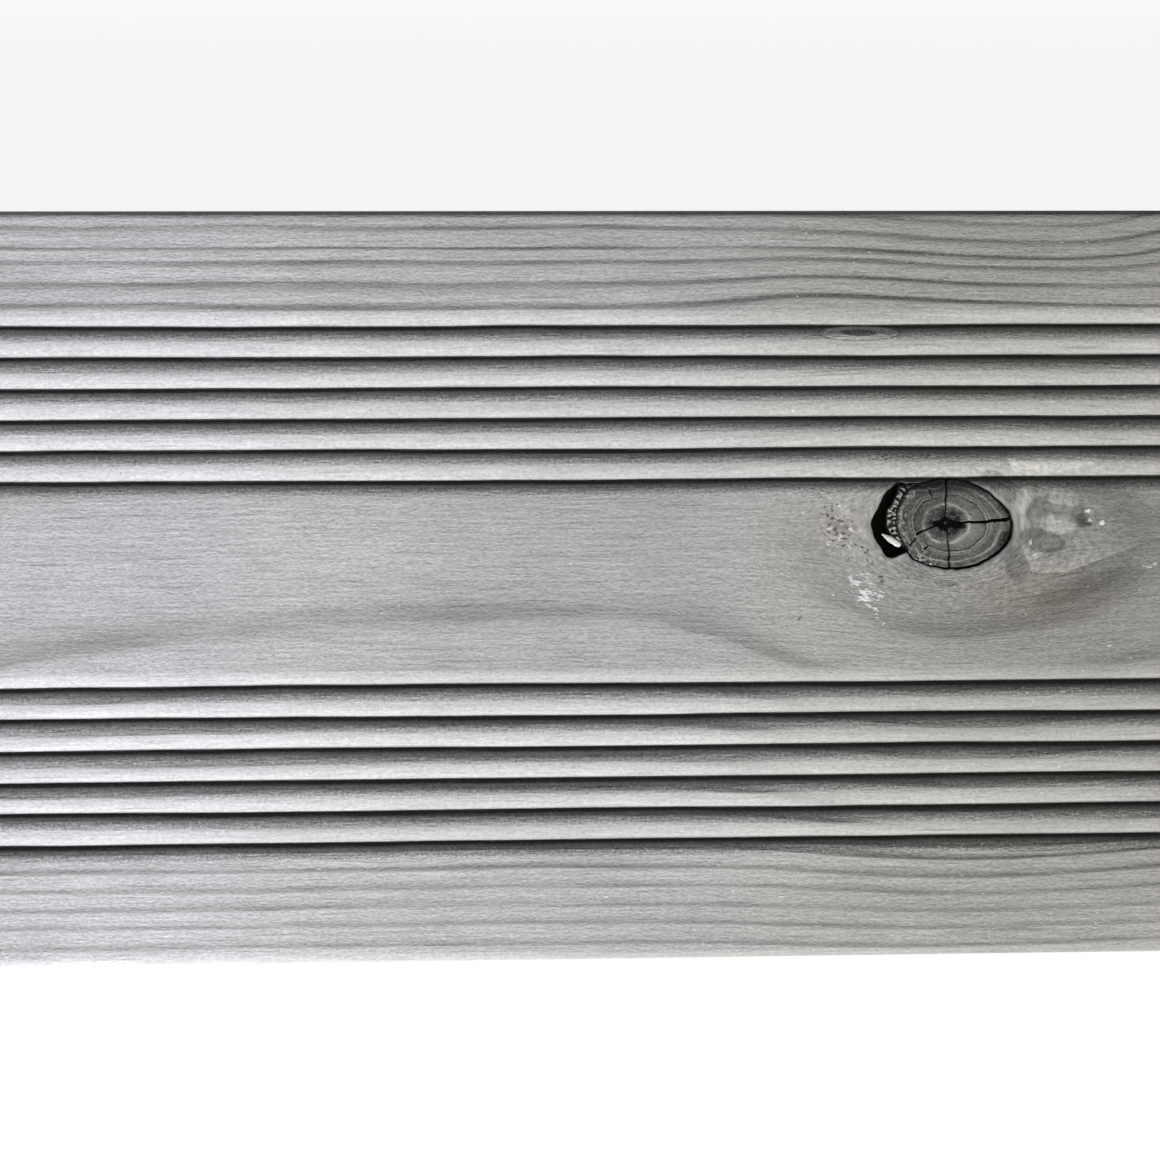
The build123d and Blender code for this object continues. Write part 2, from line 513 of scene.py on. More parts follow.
def add_pocket(shell, sizes, knot, border, half_face):
    """Adds the rays round the knot and the pocket, and gives the painted shade of each point: full on the
    pocket's wall and floor, fading in from its edge.

    Rays run from the border of a rectangle about the knot, twice as many as the border has points, to the
    pocket's edge, down the wall and in to the middle of the floor.
    """
    face_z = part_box(NODE)[1].z
    corners = shell.points()[border, :2] - (knot.x, knot.y)
    between = (corners + np.roll(corners, -1, axis=0)) / 2
    outer = np.stack([corners, between], axis=1).reshape(-1, 2)
    angle = np.arctan2(outer[:, 1], outer[:, 0])
    far = np.hypot(outer[:, 0], outer[:, 1])
    edge = pocket_edge(knot, angle)
    share = 1 - (1 - np.arange(1, RAY_COUNT + 1) / RAY_COUNT) ** 1.3
    reach = far + (edge - far) * share[:, None]
    ray_x, ray_y = round_knot(knot, reach, angle)
    rim = np.exp(-(reach - edge) / (0.3 * MM))
    ray_z = face_height(sizes, knot, ray_x, ray_y, face_z) - 0.12 * MM * rim
    rays = shell.place(ray_x, ray_y, ray_z)
    inset = edge - 0.05 * MM * WALL_SHARES
    bottom_z = face_z - knot.gap_depth - 0.3 * MM
    wall_z = ray_z[-1] + (bottom_z - ray_z[-1]) * WALL_SHARES
    wall = shell.place(*round_knot(knot, inset, angle), wall_z)
    floor = shell.place(*round_knot(knot, FLOOR_SHARES * inset[-1], angle), bottom_z)
    middle = shell.place(knot.x, knot.y, bottom_z)

    points = shell.points()
    seen = np.stack([map_along(points[:, 0]), map_face(points[:, 1], half_face)], axis=-1)
    spread = (points[:, :2] - (knot.x, knot.y)) * FLOOR_SCALE + FLOOR_PLACE
    basin = np.vstack([wall[-1:], floor])
    for table, spots in ((rays, seen), (basin, spread)):
        shell.sheet(closed(table), *(closed(spots[table][..., n]) for n in (0, 1)), True)
    ring = closed(rays)[0]
    joins = np.stack([np.roll(border, -1), ring[2::2], ring[1::2], ring[:-1:2], border], axis=-1)
    shell.add(joins, seen[joins])
    turns = np.linspace(*WALL_SPAN, len(angle) + 1)
    depths = np.linspace(*WALL_ISLAND, len(WALL_SHARES) + 1)[:, None]
    shell.sheet(closed(np.vstack([rays[-1:], wall])), turns, depths, True)
    last = fan(closed(floor)[-1], middle)
    shell.add(last, spread[last])

    # Painted shade: the pocket's wall and floor are fully dark, and the face darkens towards the pocket's
    # edge
    pocket_shade = np.zeros(len(points))
    pocket_shade[rays] = 0.55 * rim
    for table in (wall, floor, middle):
        pocket_shade[table] = 1
    return pocket_shade


def board_arrays(sizes, knot):
    """Points, faces and bake map of the whole board, and the painted shade that each point takes from the
    knot's pocket.

    The face is a grid of places along and across, less a rectangle about the knot that the pocket's rays
    fill. The edges, the underside and the two ends are grids that share the border points.
    """
    low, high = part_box(NODE)
    xs, near = stations(high.x, knot)
    widths, heights = side_levels(sizes, high.y, high.z)
    half_face = widths[0]
    ys = face_columns(sizes, half_face)
    picks = underside_columns(ys, half_face)

    shell = Shell()
    grid_x, grid_y = np.meshgrid(xs, ys, indexing="ij")
    face = shell.place(grid_x, grid_y, face_height(sizes, knot, grid_x, grid_y, high.z))
    under = shell.place(xs[:, None], ys[picks], low.z)
    sides = [shell.place(xs[:, None], side * widths[1:-1], heights[1:-1]) for side in (-1, 1)]
    left = np.column_stack([face[:, 0], sides[0], under[:, 0]])
    right = np.column_stack([face[:, -1], sides[1], under[:, -1]])

    first_row, last_row = np.abs(xs[:, None] - near[[0, -1]]).argmin(0)
    first_column = np.abs(ys - (knot.y - 20.4 * MM)).argmin()
    last_column = np.abs(ys - (sizes.middle_width / 2 + sizes.reed_pitch / 2)).argmin()
    beside = slice(first_row, last_row + 1)
    for part in (np.s_[:first_row + 1, :], np.s_[last_row:, :],
                 np.s_[beside, :first_column + 1], np.s_[beside, last_column:]):
        shell.sheet(face[part], map_along(grid_x[part]), map_face(grid_y[part], half_face))
    lengthwise = map_along(xs)[:, None]
    shell.sheet(under, lengthwise, np.interp(ys[picks], (-half_face, half_face), UNDER_ISLAND), True)
    shell.sheet(left, lengthwise, np.linspace(*LEFT_ISLAND, len(widths)), True)
    shell.sheet(right, lengthwise, np.linspace(*RIGHT_ISLAND, len(widths)))

    # The two ends: each level is the face's line, drawn towards the underside
    for end, way, span in ((0, 1, LEFT_END_SPAN), (-1, -1, RIGHT_END_SPAN)):
        end_y = ys[1:-1] * (widths[1:-1] / half_face)[:, None]
        top_z = shell.points()[face[end, 1:-1], 2]
        inner = shell.place(xs[end], end_y, top_z * (heights[1:-1] / high.z)[:, None])
        table = np.vstack([face[end, 1:-1], inner])
        table = np.column_stack([left[end, :-1], table, right[end, :-1]])
        where = shell.points()[table]
        u = np.interp(where[..., 1], (-high.y, high.y), span)
        v = np.interp(where[..., 2], (low.z, high.z), END_ISLAND)
        shell.sheet(table, u, v, way > 0)
        below_u = np.interp(ys[picks], (-high.y, high.y), span)
        for n in range(len(picks) - 1):
            strip = slice(picks[n], picks[n + 1] + 1)
            ring = np.append(table[-1, strip], under[end, [n + 1, n]])
            ring_u = np.append(u[-1, strip], below_u[[n + 1, n]])
            ring_v = np.append(v[-1, strip], [END_ISLAND[0]] * 2)
            shell.add(ring[None, ::way], np.column_stack([ring_u, ring_v])[None, ::way])

    border = np.concatenate([face[first_row:last_row, first_column], face[last_row, first_column:last_column],
                             face[last_row:first_row:-1, last_column],
                             face[first_row, last_column:first_column:-1]])
    pocket_shade = add_pocket(shell, sizes, knot, border, half_face)
    return shell.points(), shell.faces, shell.spots, pocket_shade


# What the board's finish reads, with places in millimetres from the middle of the board or of the knot

# Patches beside the knot: place along, place across, half length, half width, tilt in degrees, and how much
# paler or darker each is
KNOT_PATCHES = (
    (14.1, 4.2, 1.6, 2.4, -10, 0.21), (14.6, 6.9, 1.3, 0.9, 0, 0.16), (17.2, 2.5, 2.2, 2.9, -20, -0.17),
    (22.2, 4.5, 3.0, 1.6, -10, 0.12), (21.9, 2.2, 2.4, 1.0, -5, -0.08), (20.7, -0.5, 3.5, 1.7, -8, 0.18),
    (18.0, -3.5, 4.4, 2.3, -12, -0.22), (18.9, -4.0, 2.2, 1.0, 0, 0.11), (12.6, -8.2, 2.4, 3.4, 14, -0.15),
    (25.0, -12.6, 10.0, 2.0, 19, -0.10), (25.3, 1.5, 1.9, 2.3, 0, -0.12), (20.5, 12.4, 8.6, 2.3, 0, 0.16),
    (10.6, 6.9, 4.6, 2.1, -40, -0.20), (-7.6, -9.3, 4.2, 1.5, -22, -0.13), (-1.2, -11.7, 2.6, 0.7, -4, -0.16),
    (1.5, -13.6, 5.5, 0.5, 3, 0.09), (-22.4, -0.2, 2.8, 1.4, -35, -0.13), (-20.6, 2.4, 1.0, 0.9, 0, 0.20),
    (-22.6, 5.0, 1.4, 0.9, 0, 0.12), (38.0, -7.5, 3.2, 2.4, 0, 0.10), (13.2, 0.6, 1.3, 2.6, 0, 0.07),
)
PATCH_STRENGTH = 1.25

# Stains beside the knot: place along, place across, half length, half width, tilt in degrees, the shares of
# that oval where the stain begins and where it is full, and how dark it is
STAINS = (
    (25.6, 0.5, 1.1, 1.5, 8, 1.2, 0.75, 0.72), (27.0, -0.3, 0.7, 0.45, 0, 1.3, 0.6, 0.95),
    (-13.9, -10.3, 0.45, 0.3, -20, 1.3, 0.6, 0.9), (-13.6, -11.2, 0.45, 0.3, -20, 1.3, 0.6, 0.9),
    (-29.6, -18.3, 0.45, 0.3, -20, 1.3, 0.6, 0.9),
)

# Pits, resin and rust beside the knot: place along, place across, reach along, reach across, and strength
PITS = ((-9, 13.5, 9, 1.6, 0.8), (-8, -9.6, 4, 1.6, 0.75), (-13.6, 12.9, 2.4, 1.2, 1.1),
        (-4.0, 13.2, 1.6, 0.9, 1.1))
RESIN = ((27.0, 2.3, 0.6, 0.6, 1.5), (27.3, 0.8, 0.7, 0.7, 1.5), (29.6, 0.0, 0.6, 0.6, 1.5),
         (38.4, -8.3, 0.6, 0.6, 1.5), (16.2, -5.8, 1.3, 1.2, 0.6), (-6, -7.9, 2.4, 0.5, 0.5),
         (-13.6, 12.9, 2.4, 1.2, 0.62), (-4.0, 13.2, 1.6, 0.9, 0.62))
RUST = ((18, -14, 12, 5, 1.0), (-22, -1, 4, 3, 0.8))


def oval_share(x, y, place, reach, tilt):
    """How far out in a tilted oval each point lies: nought in its middle and 1 on its edge."""
    turn = np.radians(tilt)
    dx, dy = x - place[0], y - place[1]
    along = dx * np.cos(turn) + dy * np.sin(turn)
    across = dy * np.cos(turn) - dx * np.sin(turn)
    return np.hypot(along / reach[0], across / reach[1])


def highest_bell(dx, dy, bells):
    """The highest of several bells, each with its place, its reach and its strength."""
    return np.maximum.reduce([row[4] * bell(dx, dy, row[:2], row[2:4]) for row in bells])


def knot_patches(dx, dy):
    """Sum of the patches: each is level inside its oval and fades out over its edge, which wanders."""
    wander = 0.11 * fractal_noise(61, 2, dx / 1.6, dy / 1.6)
    total = np.zeros_like(dx)
    for *place, half_length, half_width, tilt, level in KNOT_PATCHES:
        out = oval_share(dx, dy, place, (half_length, half_width), tilt)
        total += PATCH_STRENGTH * level * smooth_step(1.14, 0.86, out + wander)
    return total


def knot_marks(dx, dy):
    """How strong the pits, the resin flecks and the stains beside the knot are.

    A slanting cluster of pits and flecks lies before the knot, with a trail of pits under it, and the
    resin runs in two slanting bands below.
    """
    cluster = bell(dx, dy, (-22.2 - 0.3 * dy, -0.5), (3.4, 6.5))
    trail = bell(dx, dy, (-16.6 - 0.5 * (dy + 6), -6), (1.4, 4.5))
    pits = np.maximum.reduce([cluster, 0.85 * trail, highest_bell(dx, dy, PITS)])
    slant = np.radians(-58)
    down = (dx + 17) * np.cos(slant) + (dy + 14) * np.sin(slant)
    aside = (dy + 14) * np.cos(slant) - (dx + 17) * np.sin(slant)
    band = 1.16 * np.exp(-(aside / 1.1) ** 2 - (down / 5.8) ** 4)
    second = 0.85 * np.exp(-((aside - 2.2) / 1.2) ** 2 - (down / 5.0) ** 4)
    resin = np.maximum.reduce([band, second, 0.62 * cluster, highest_bell(dx, dy, RESIN)])
    stain = np.zeros_like(dx)
    for *place, half_length, half_width, tilt, begins, full, dark in STAINS:
        out = oval_share(dx, dy, place, (half_length, half_width), tilt)
        stain = np.maximum(stain, dark * smooth_step(begins, full, out))
    return pits, resin, stain


def torn_wood(dx, dy):
    """Distance inside the edges of the torn wood past the knot, and how plainly it shows.

    The torn patch has one straight edge at its left and two below. On the reed above the knot the torn
    wood ends in a round edge.
    """
    from_left = 0.93 * (dx - 13.6) + 0.367 * (dy + 4.3)
    from_below = np.minimum(dy + 9.75, 0.94 * (dy + 9.8) - 0.345 * (dx - 22.2))
    round_edge = 4.4 - np.hypot(dx - 15.6, dy - 13.3)
    inside = np.where(dy > 9, round_edge, np.minimum(from_left, from_below))
    shows = np.maximum(bell(dx, dy, (24, -7), (15, 6.5)), 0.6 * bell(dx, dy, (12.6, 12.2), (4, 2)))
    return inside, shows


def wood_tone(x, y, dx, dy, on_face, toward):
    """How light the wood is, and how warm.

    Paler at one end of the stretch about the knot and darker at the other, as painted falloff of the lamp's
    light, then changing slowly, with dim places, painted shade on the flanks that face the lamp, and the
    patches beside the knot on the face.
    """
    # Painted light: the wood is paler to the left of the knot and darker to its right, as the lamp's falloff
    tone = 0.97 + 0.22 * np.exp(-((x + 100) / 75) ** 2) - 0.24 * np.exp(-((x - 110) / 75) ** 2)
    tone = tone + 0.16 * lattice_noise(51, x / 210) * smooth_step(180, 330, np.abs(x))
    warmth = np.clip(0.5 - 2.6 * (tone - 0.97), 0, 1)
    # Painted shade: the flanks that face the lamp are darker, except on the upper band past the knot
    lit_flank_shade = 0.11 * (1 - smooth_step(40, 90, x) * (y > 0)) * toward
    arris = 0.25 * smooth_step(70.4, 72.0, np.abs(y))
    dim = lit_flank_shade + arris + 0.15 * bell(dx, dy, (14, -8), (32, 17)) + 0.05 * bell(dx, dy, (30, -4), (15, 10))
    dim = dim + 0.07 * bell(x, y, (-85, -2), (60, 15))
    for place, reach in (((0, -60), (45, 9)), ((90, -10), (40, 10)), ((-20, -13), (45, 5))):
        dim = dim + 0.06 * bell(x, y, place, reach)
    tone = tone + on_face * (knot_patches(dx, dy) - dim)
    off_face = 0.60 + 0.06 * lattice_noise(52, x / 120, y / 30)
    return on_face * tone + (1 - on_face) * off_face, warmth


def board_fields(sizes, growth, knot, points, pocket_shade):
    """What the finish reads at each point: rings, grain, tone, warmth, pits, resin, stains, painted shade and
    glints.
    """
    face_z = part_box(NODE)[1].z
    x, y, z = points.T
    grain = np.stack([x, grain_flow(knot, x, y), z], axis=-1)
    ring = ring_coordinate(growth, knot, x, y, z, face_z)
    darkness = np.interp(ring, np.arange(len(RING_ENDS)) - 0.1, RING_DARKNESS)
    on_face = smooth_step(face_z - 6 * MM, face_z - 3 * MM, z)
    section_y = y + groove_wander(x, y)
    depth = on_face * section_drop(sizes, section_y) / sizes.groove_depth
    step = 0.05 * MM
    rise = (section_drop(sizes, section_y - step) - section_drop(sizes, section_y + step)) / (2 * step)
    away = smooth_step(-0.05, -0.2, rise)
    toward = smooth_step(0.05, 0.2, rise)

    x, y = x / MM, y / MM
    dx, dy = x - knot.x / MM, y - knot.y / MM
    upper = on_face * smooth_step(18, 22, y) * smooth_step(51.5, 49.5, y)
    plain = 0.25 + 0.35 * smooth_step(-20, -60, x)
    back_strip = smooth_step(50, 52, y) * smooth_step(-20, -90, x)
    # Painted sheen: ring lines nearly vanish on the flanks that face the lamp
    lines = darkness * (1 - on_face * (plain * away + 0.8 * toward)) * (1 - 0.75 * upper)
    lines = lines * (1 - 0.7 * bell(dx, dy, (-30, 0), (16, 18))) * (1 - 0.16 * back_strip)
    eye = oval_share(x, y, (54, 48.2), (8, 1.5), 0)
    # Painted shade: the feet of the flanks that face away from the lamp and the floor of each groove are
    # darkened, less so at the eye
    groove_painted_shade = 0.95 * away * smooth_step(0.44, 0.68, depth) + 0.5 * smooth_step(0.74, 1.0, depth)
    groove_painted_shade = groove_painted_shade * (1 - 0.85 * smooth_step(1.15, 0.9, eye))
    tone, warmth = wood_tone(x, y, dx, dy, on_face, toward)
    pits, resin, stain = knot_marks(dx, dy)
    tear, torn = torn_wood(dx, dy)
    return {
        "ring": ring,
        "grain": grain,
        "lines": lines,
        "tone": tone,
        "warmth": warmth,
        # Painted shade in the grooves and the pocket, with the stains beside the knot
        "painted_shade_and_stain": np.maximum.reduce([groove_painted_shade, pocket_shade, stain * on_face]),
        "eye": np.where(on_face > 0, eye, 9),
        # Painted glints go on the flanks that face away from the lamp
        "painted_glint_flank": away * on_face,
        "rust": highest_bell(dx, dy, RUST) * on_face,
        "mottle": bell(dx, dy, (6, -2), (34, 18)) * on_face,
        "pits": pits * on_face,
        "resin": resin * on_face,
        "tear": np.where(on_face > 0, tear, -9),
        "torn": torn * on_face,
    }


# The knot

KNOT_TURNS = 512
KNOT_RINGS = 112
SIDE_SHARES = np.array([0.05, 0.2, 0.5, 1.0])[:, None]

# Drying cracks, measured from the pith: heading at the inner end and at the outer end in degrees, distance
# to the inner end, distance to the outer end, and half width in millimetres
CRACKS = (
    (0.0, 3.8, 3.0, 13.0, 0.30), (93.0, 86.5, 1.2, 9.5, 0.22), (-84.0, -88.0, 1.8, 9.5, 0.19),
    (201.0, 199.5, 1.5, 6.1, 0.17), (206.0, 211.0, 6.6, 8.2, 0.10), (117.0, 116.0, 5.6, 7.2, 0.12),
    (231.0, 229.0, 5.6, 6.6, 0.12),
)

# Shares of the way out from the pith: the line where the bark parts, at turns in degrees, and how light the
# wood is between pith and bark
PARTING_TURNS = (130, 142, 152, 160, 167, 184, 190, 197, 210)
PARTING_SHARES = (0.94, 0.875, 0.91, 0.90, 0.86, 0.865, 0.885, 0.94, 0.97)
TONE_SHARES = (0, 0.22, 0.30, 0.335, 0.345, 0.360, 0.385, 0.410, 0.45, 0.57, 0.605, 0.635, 0.655, 0.680,
               0.71, 0.80, 0.84, 0.87, 0.92, 1.0)
TONE_LEVELS = (0.22, 0.28, 0.60, 0.75, 1.20, 0.80, 2.15, 2.05, 1.02, 0.88, 0.36, 1.85, 0.62, 1.45,
               0.78, 0.66, 1.75, 0.75, 0.55, 0.28)


def crack(px, py, turn_in, turn_out, start, stop, half_width):
    """A drying crack that runs out from the pith: 1 along its middle, 0 past its half width and its ends.

    Its heading goes evenly from one angle to another, in degrees, and wanders a little on the way.
    """
    reach = np.hypot(px, py)
    share = np.clip((reach - start) / (stop - start), 0, 1)
    heading = np.radians(turn_in + (turn_out - turn_in) * share)
    aside = -px * np.sin(heading) + py * np.cos(heading)
    ahead = px * np.cos(heading) + py * np.sin(heading)
    aside = aside + 0.14 * lattice_noise(31, reach / 0.9, np.full_like(reach, turn_in))
    ends = smooth_step(start - 0.2, start + 0.3, ahead) * smooth_step(stop + 0.3, stop - 0.2, ahead)
    return ends * (1 - smooth_step(0.5, 1.25, np.abs(aside) / (half_width * (0.6 + 0.6 * share))))


def knot_hollow(px, py, reach, turn):
    """The black star at the pith: 1 inside a ragged edge with two long arms, less at the heart itself."""
    ragged = lattice_noise(32, *on_circle(2.2, turn), reach / 1.2)
    star = 1.5 + 1.1 * angle_bell(turn, 186, 34) + 2.3 * angle_bell(turn, -7, 20)
    star = star + 0.4 * angle_bell(turn, 80, 30)
    hollow = 1 - smooth_step(0.72, 1.12, reach / (star * (1 + 0.25 * ragged)))
    heart = 1 - smooth_step(0.25, 0.5, np.hypot(px, py - 0.1))
    return hollow * (1 - 0.75 * heart)


def knot_tone(share, turn, dy):
    """How light the knot's rings are: levels at shares of the way out that wobble, patchy, darker on some
    sides, and with painted shade towards the knot's top.
    """
    wobble = 0.020 * fractal_noise(36, 4, *on_circle(4, turn), share * 6)
    patchy = fractal_noise(39, 3, *on_circle(4, turn), share * 9)
    tone = np.interp(share + wobble, TONE_SHARES, TONE_LEVELS)
    tone = 0.92 + (tone - 0.95) * np.clip(1.15 + 0.9 * patchy, 0.35, 1.9)
    # Painted shade: the knot darkens towards its top, where the reed's shoulder slopes away from the lamp
    tone = tone * (1 - 0.5 * smooth_step(4.5, 8.5, dy))
    tone = tone * (1 + 0.20 * np.cos(turn + 0.5) - 0.06 * np.sin(turn) - 0.10 * angle_bell(turn, 145, 60))
    between = smooth_step(0.42, 0.48, share) * smooth_step(0.62, 0.58, share)
    tone = tone * (1 + between * (0.22 * angle_bell(turn, 0, 70) - 0.15 * angle_bell(turn, 150, 50)))
    return tone * (1 + 0.16 * lattice_noise(37, *on_circle(34, turn), share * 7))


def knot_arrays(sizes, knot):
    """Points, faces and fields of the knot: a plug whose top is a set of ovals, rounder towards its pith.

    Rings, bark and the hollow at the pith follow the ovals; cracks run out from the pith. Places in plan
    are in millimetres from the knot's centre, or from the pith.
    """
    face_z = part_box(NODE)[1].z
    angle = (np.arange(KNOT_TURNS) * 2 * pi / KNOT_TURNS)[None, :]
    share = (np.arange(1, KNOT_RINGS + 1) / KNOT_RINGS)[:, None]
    inner = oval_edge(0.95 * knot.length, 1.07 * knot.width, angle)
    outward = smooth_step(0.35, 1.0, share)
    radius = share * (inner * (1 - outward) + knot_edge(knot, angle) * outward) / MM
    shift = -0.95 * (1 - smooth_step(0.38, 0.66, share))
    dx, dy = radius * np.cos(angle) + shift, radius * np.sin(angle)
    px, py = dx + 0.9, dy - 0.1
    reach, turn = np.hypot(px, py), np.arctan2(py, px)
    own_turn = np.degrees(np.arctan2(dy, dx)) % 360
    cracks = np.maximum.reduce([crack(px, py, *row) for row in CRACKS])
    hollow = knot_hollow(px, py, reach, turn)
    tone = knot_tone(share, turn, dy)

    # Bark left standing on the side of the open gap, split into small crumbs, past a dark parting line
    side = smooth_step(130, 136, own_turn) * smooth_step(203, 195, own_turn)
    line = np.interp(own_turn, PARTING_TURNS, PARTING_SHARES) + 0.012 * lattice_noise(35, *on_circle(9, turn))
    row = (share - line) / (1 - line)
    crumb = lattice_noise(33, dx / 0.42, dy / 0.38)
    shuffle = lattice_noise(34, *on_circle(6, turn), row)
    tooth = np.sin(70 * turn + 3 * shuffle + 0.8 * row)
    tooth = tooth + 0.55 * np.cos(2 * pi * (1.5 * row - 0.3 + 0.3 * shuffle))
    tooth = 0.2 + 0.8 * smooth_step(-0.8, 0.6, 0.42 * tooth + 1.05 * crumb)
    bark = side * smooth_step(line, line + 0.02, share)
    parting = smooth_step(126, 133, own_turn) * smooth_step(214, 206, own_turn)
    parting = parting * np.exp(-((share - line) / 0.016) ** 2)

    # Pale crusts along the lower edge and beside the parting line
    lower = angle_bell(np.radians(own_turn), 232, 20) * smooth_step(0.78, 0.9, share)
    lower = np.maximum(lower, 0.6 * angle_bell(turn, 222, 26) * smooth_step(0.55, 0.75, share))
    crust = lower * smooth_step(0.25, 0.6, lattice_noise(38, px / 0.40, py / 0.40))
    beside = side * smooth_step(0.10, 0.02, np.abs(share - line + 0.06))
    crust = np.maximum(crust, 0.8 * smooth_step(0.1, 0.5, crumb) * beside)
    pale = np.maximum(bark * tooth * (1 - 0.35 * smooth_step(150, 138, own_turn)), crust * (1 - bark))
    rim = smooth_step(0.985, 1.0, share) * (1 - 0.6 * side)
    # Painted shade: the cracks, the hollow, the parting line, the gaps between bark crumbs and the rim go
    # near black
    dark = np.maximum.reduce([cracks, hollow, 0.95 * parting, 0.9 * bark * (1 - tooth), rim])

    worn = 0.12 + 0.3 * smooth_step(0.965, 1.0, share) - 0.05 * (tone - 1) * (1 - hollow)
    worn = worn + 2.0 * cracks + 1.5 * hollow + 0.9 * parting + bark * (1 - 0.75 * tooth)
    top = np.minimum(face_z - section_drop(sizes, knot.y + dy * MM) - worn * MM, face_z - 0.02 * MM)

    # The side of the plug and its foot, which stands in the floor of the board's pocket
    foot_z = face_z - knot.gap_depth - 0.5 * MM
    side_radius = radius[-1] - 0.4 * SIDE_SHARES
    foot_radius = FLOOR_SHARES * side_radius[-1]
    blocks = [
        (dx, dy, top),
        (*on_circle(side_radius, angle), top[-1] + (foot_z - top[-1]) * SIDE_SHARES),
        (*on_circle(foot_radius, angle), foot_z),
        (shift[0, 0], 0.0, top[0].mean()),
        (0.0, 0.0, foot_z),
    ]
    points = np.concatenate([np.stack(np.broadcast_arrays(*block), -1).reshape(-1, 3) for block in blocks])
    points = points * (MM, MM, 1.0) + (knot.x, knot.y, 0.0)
    count = len(points) - 2
    table = closed(np.arange(count).reshape(-1, KNOT_TURNS))
    faces = [grid_faces(table), fan(table[0], count), fan(table[-1, ::-1], count + 1)]

    def over_all(values, rest, middle):
        """Values of the top, one value for the side and foot, and one each for the two poles."""
        hidden = np.full(count - values.size, rest)
        return np.concatenate([values.ravel(), hidden, [middle, rest]])

    fields = {
        "tone": over_all(tone, 0.4, 0.5),
        # The plug's side and foot take full painted shade
        "dark": over_all(dark, 1.0, 0.3),
        "pale": over_all(pale, 0.0, 0.0),
    }
    return points, faces, fields


# The sliver, in millimetres from the knot's centre at the level of the face: its two ends and half sizes

SLIVER_FIRST = (-13.5, -2.0, -0.35)
SLIVER_LAST = (-9.75, -4.3, -0.75)
SLIVER_HALF_WIDTH = 0.62
SLIVER_HALF_HEIGHT = 0.26
SLIVER_STEPS = 40
SLIVER_TURNS = 28


def sliver_arrays(knot):
    """Points, faces and fields of the pale sliver across the gap: a flat bar that narrows to blunt ends."""
    first, last = np.array(SLIVER_FIRST), np.array(SLIVER_LAST)
    along = (last - first) / np.linalg.norm(last - first)
    across = np.array([-along[1], along[0], 0.0])
    across = across / np.linalg.norm(across)
    upward = np.cross(along, across)
    share = (np.arange(1, SLIVER_STEPS) / SLIVER_STEPS)[:, None]
    turn = (np.arange(SLIVER_TURNS) * 2 * pi / SLIVER_TURNS)[None, :]
    full = np.minimum(0.18 + 1.9 * share, 1) * (1 - share ** 16) ** 0.6
    full = full * (1 + 0.14 * lattice_noise(41, share * 9, *on_circle(2, turn)))
    wide = SLIVER_HALF_WIDTH * full * np.cos(turn)
    high = SLIVER_HALF_HEIGHT * full * np.sin(turn)
    centre = first + (last - first) * share[..., None]
    body = centre + wide[..., None] * across + high[..., None] * upward
    points = np.concatenate([body.reshape(-1, 3), [first, last]])
    points = points * MM + (knot.x, knot.y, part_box(NODE)[1].z)
    count = len(points) - 2
    table = closed(np.arange(count).reshape(-1, SLIVER_TURNS))
    faces = [grid_faces(table)[:, ::-1], fan(table[0, ::-1], count), fan(table[-1], count + 1)]
    streaks = np.stack(np.broadcast_arrays(share, *on_circle(1, turn)), axis=-1).reshape(-1, 3)
    fields = {"grain": np.concatenate([streaks, [(0, 0, 0), (1, 0, 0)]])}
    return points, faces, fields


# Finishes

COOL_TINT = (0.985, 0.995, 1.055)
WARM_TINT = (1.015, 1.0, 0.955)
RUST_TINT = (1.06, 0.97, 0.91)
FLOOR_WHITENESS = 0.9

# Ramps, each stop a place and a level: late wood over one year, the lines of the eye from its middle to twice
# its oval, and torn wood from 1 mm outside its edge to 9 mm inside
LATE_STOPS = ((0.0, 0.78), (0.05, 0.42), (0.11, 0.12), (0.17, 0.0), (0.46, 0.0), (0.66, 0.18), (0.79, 0.52),
              (0.88, 0.95), (1.0, 0.92))
EYE_STOPS = ((0.0, 0.68), (0.14, 0.80), (0.23, 0.90), (0.27, 0.50), (0.30, 0.24), (0.45, 0.20), (0.515, 0.28),
             (0.535, 0.95), (0.565, 0.62), (0.62, 0.52), (0.68, 0.50))
# Torn wood: the dark dip just outside its edge and the bright band just inside are painted shade and
# highlight of the step
TORN_STOPS = ((0.0, 0.5), (0.05, 0.43), (0.09, 0.35), (0.1, 0.31), (0.115, 0.95), (0.27, 0.86), (0.45, 0.64),
              (0.75, 0.5))


def add_node(tree, kind, inputs=None, **settings):
    """Adds one node with its settings, and joins or sets the inputs that are named or numbered."""
    node = tree.nodes.new(kind)
    for name, value in settings.items():
        setattr(node, name, value)
    for name, value in (inputs or {}).items():
        if isinstance(value, bpy.types.NodeSocket):
            tree.links.new(value, node.inputs[name])
        else:
            node.inputs[name].default_value = value
    return node


def field(tree, name, output="Fac"):
    """Reads one of the piece's own fields."""
    return add_node(tree, "ShaderNodeAttribute", attribute_name=name).outputs[output]


def maths(tree, operation, first, second=0.0, third=0.0, clamp=False):
    """One sum on two or three numbers."""
    inputs = {0: first, 1: second, 2: third}
    return add_node(tree, "ShaderNodeMath", inputs, operation=operation, use_clamp=clamp).outputs[0]


def scaled(tree, value, factor, offset, clamp=False):
    """A number times a factor, plus an offset."""
    return maths(tree, "MULTIPLY_ADD", value, factor, offset, clamp)


def times(tree, first, second, clamp=False):
    """The product of two numbers."""
    return maths(tree, "MULTIPLY", first, second, clamp=clamp)


